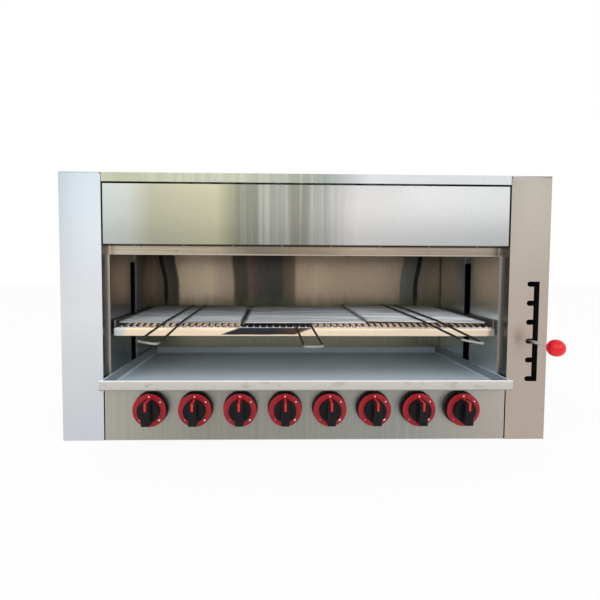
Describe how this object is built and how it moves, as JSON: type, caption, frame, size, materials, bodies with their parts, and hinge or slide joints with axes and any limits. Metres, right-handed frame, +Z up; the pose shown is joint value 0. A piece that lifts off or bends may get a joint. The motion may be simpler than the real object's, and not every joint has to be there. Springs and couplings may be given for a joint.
{
  "type": "cheese melter",
  "caption": "Countertop gas cheese melter with ceiling burners, a height-adjustable rack with loose grates, a notched side lever, a pull-out drip tray and a row of red and black gas knobs.",
  "frame": {"origin": "middle of the casing's underside, on the surface it stands on", "axes": "+X to the right of someone facing the front, +Y into the object from its front, +Z up"},
  "size_m": [1.2, 0.7302, 0.656],
  "materials": {
    "case_steel": "fine brushed stainless sheet, lightly worn",
    "cavity_steel": "stainless sheet, slightly heat-tinted",
    "tray_steel": "stainless sheet, satin",
    "bright_screw": "bright pan-head screws",
    "guide_steel": "turned and plain bright steel",
    "polished_bar": "polished stainless",
    "dark_frame": "stainless darkened by heat",
    "rack_wire": "bright plated wire",
    "ball_red": "glossy red ball",
    "burner_tile": "unglazed porous ceramic plate",
    "burner_steel": "plain steel sheet",
    "supply_steel": "grey painted steel pipe",
    "valve_brass": "machined brass",
    "feed_aluminium": "bent aluminium tube",
    "bezel_black": "satin black plastic",
    "knob_black": "satin black plastic with a dark red ring"
  },
  "bodies": {
    "casing": {"back_inner_wall": "cavity_steel", "base_pan": "case_steel", "burner_1": "burner_steel", "burner_2": "burner_steel", "burner_3": "burner_steel", "burner_4": "burner_steel", "burner_5": "burner_steel", "burner_6": "burner_steel", "burner_7": "burner_steel", "burner_8": "burner_steel", "burner_rail": "cavity_steel", "burner_tiles": "burner_tile", "control_panel": "case_steel", "cover_screws": "bright_screw", "feed_pipes": "feed_aluminium", "gas_manifold": "supply_steel", "gas_valves": "valve_brass", "guide_rod_brackets": "guide_steel", "guide_rods": "guide_steel", "hood_front_panel": "case_steel", "knob_bezels": "bezel_black", "left_inner_wall": "cavity_steel", "left_side_cover": "case_steel", "rear_cover": "case_steel", "right_inner_wall": "cavity_steel", "right_side_cover": "case_steel", "top_cover": "case_steel", "tray_deck": "cavity_steel"},
    "tray": {"drip_tray": "tray_steel"},
    "rack": {"left_carriage": "guide_steel", "right_carriage": "guide_steel", "link_bars": "guide_steel", "cross_tube": "guide_steel", "rack_front_bar": "polished_bar", "rack_frame": "dark_frame", "rack_grid": "rack_wire", "lever_pin": "guide_steel"},
    "lever": {"lever_block": "guide_steel", "lever_rod": "guide_steel", "lever_ball": "ball_red"},
    "grate_left": {"left_grate": "rack_wire"},
    "grate_middle": {"middle_grate": "rack_wire"},
    "grate_right": {"right_grate": "rack_wire"},
    "push_1": {"valve_plunger_1": "valve_brass"},
    "knob_turn_1": {"knob_1": "knob_black"},
    "push_2": {"valve_plunger_2": "valve_brass"},
    "knob_turn_2": {"knob_2": "knob_black"},
    "push_3": {"valve_plunger_3": "valve_brass"},
    "knob_turn_3": {"knob_3": "knob_black"},
    "push_4": {"valve_plunger_4": "valve_brass"},
    "knob_turn_4": {"knob_4": "knob_black"},
    "push_5": {"valve_plunger_5": "valve_brass"},
    "knob_turn_5": {"knob_5": "knob_black"},
    "push_6": {"valve_plunger_6": "valve_brass"},
    "knob_turn_6": {"knob_6": "knob_black"},
    "push_7": {"valve_plunger_7": "valve_brass"},
    "knob_turn_7": {"knob_7": "knob_black"},
    "push_8": {"valve_plunger_8": "valve_brass"},
    "knob_turn_8": {"knob_8": "knob_black"}
  },
  "joints": [
    {"name": "rack_lift", "type": "slide", "parent": "casing", "child": "rack", "axis": [0, 0, 1], "range_m": [-0.0948, 0.1422]},
    {"name": "lever_shift", "type": "slide", "parent": "rack", "child": "lever", "axis": [1, 0, 0], "range_m": [-0.016, 0]},
    {"name": "tray_pull", "type": "slide", "parent": "casing", "child": "tray", "axis": [0, -1, 0], "range_m": [0, 0.4]},
    {"name": "grate_left_pull", "type": "slide", "parent": "rack", "child": "grate_left", "axis": [0, -0.9997, -0.0261], "range_m": [0, 0.3]},
    {"name": "grate_middle_pull", "type": "slide", "parent": "rack", "child": "grate_middle", "axis": [0, -0.9997, -0.0261], "range_m": [0, 0.3]},
    {"name": "grate_right_pull", "type": "slide", "parent": "rack", "child": "grate_right", "axis": [0, -0.9997, -0.0261], "range_m": [0, 0.3]},
    {"name": "knob_press_1", "type": "slide", "parent": "casing", "child": "push_1", "axis": [0, 1, 0], "range_m": [0, 0.004], "stiffness_N_per_m": 800},
    {"name": "knob_turn_1", "type": "hinge", "parent": "push_1", "child": "knob_turn_1", "pos_m": [-0.3815, -0.26, 0.084], "axis": [0, -1, 0], "range_deg": [0, 225]},
    {"name": "knob_press_2", "type": "slide", "parent": "casing", "child": "push_2", "axis": [0, 1, 0], "range_m": [0, 0.004], "stiffness_N_per_m": 800},
    {"name": "knob_turn_2", "type": "hinge", "parent": "push_2", "child": "knob_turn_2", "pos_m": [-0.2725, -0.26, 0.084], "axis": [0, -1, 0], "range_deg": [0, 225]},
    {"name": "knob_press_3", "type": "slide", "parent": "casing", "child": "push_3", "axis": [0, 1, 0], "range_m": [0, 0.004], "stiffness_N_per_m": 800},
    {"name": "knob_turn_3", "type": "hinge", "parent": "push_3", "child": "knob_turn_3", "pos_m": [-0.1635, -0.26, 0.084], "axis": [0, -1, 0], "range_deg": [0, 225]},
    {"name": "knob_press_4", "type": "slide", "parent": "casing", "child": "push_4", "axis": [0, 1, 0], "range_m": [0, 0.004], "stiffness_N_per_m": 800},
    {"name": "knob_turn_4", "type": "hinge", "parent": "push_4", "child": "knob_turn_4", "pos_m": [-0.0545, -0.26, 0.084], "axis": [0, -1, 0], "range_deg": [0, 225]},
    {"name": "knob_press_5", "type": "slide", "parent": "casing", "child": "push_5", "axis": [0, 1, 0], "range_m": [0, 0.004], "stiffness_N_per_m": 800},
    {"name": "knob_turn_5", "type": "hinge", "parent": "push_5", "child": "knob_turn_5", "pos_m": [0.0545, -0.26, 0.084], "axis": [0, -1, 0], "range_deg": [0, 225]},
    {"name": "knob_press_6", "type": "slide", "parent": "casing", "child": "push_6", "axis": [0, 1, 0], "range_m": [0, 0.004], "stiffness_N_per_m": 800},
    {"name": "knob_turn_6", "type": "hinge", "parent": "push_6", "child": "knob_turn_6", "pos_m": [0.1635, -0.26, 0.084], "axis": [0, -1, 0], "range_deg": [0, 225]},
    {"name": "knob_press_7", "type": "slide", "parent": "casing", "child": "push_7", "axis": [0, 1, 0], "range_m": [0, 0.004], "stiffness_N_per_m": 800},
    {"name": "knob_turn_7", "type": "hinge", "parent": "push_7", "child": "knob_turn_7", "pos_m": [0.2725, -0.26, 0.084], "axis": [0, -1, 0], "range_deg": [0, 225]},
    {"name": "knob_press_8", "type": "slide", "parent": "casing", "child": "push_8", "axis": [0, 1, 0], "range_m": [0, 0.004], "stiffness_N_per_m": 800},
    {"name": "knob_turn_8", "type": "hinge", "parent": "push_8", "child": "knob_turn_8", "pos_m": [0.3815, -0.26, 0.084], "axis": [0, -1, 0], "range_deg": [0, 225]}
  ]
}
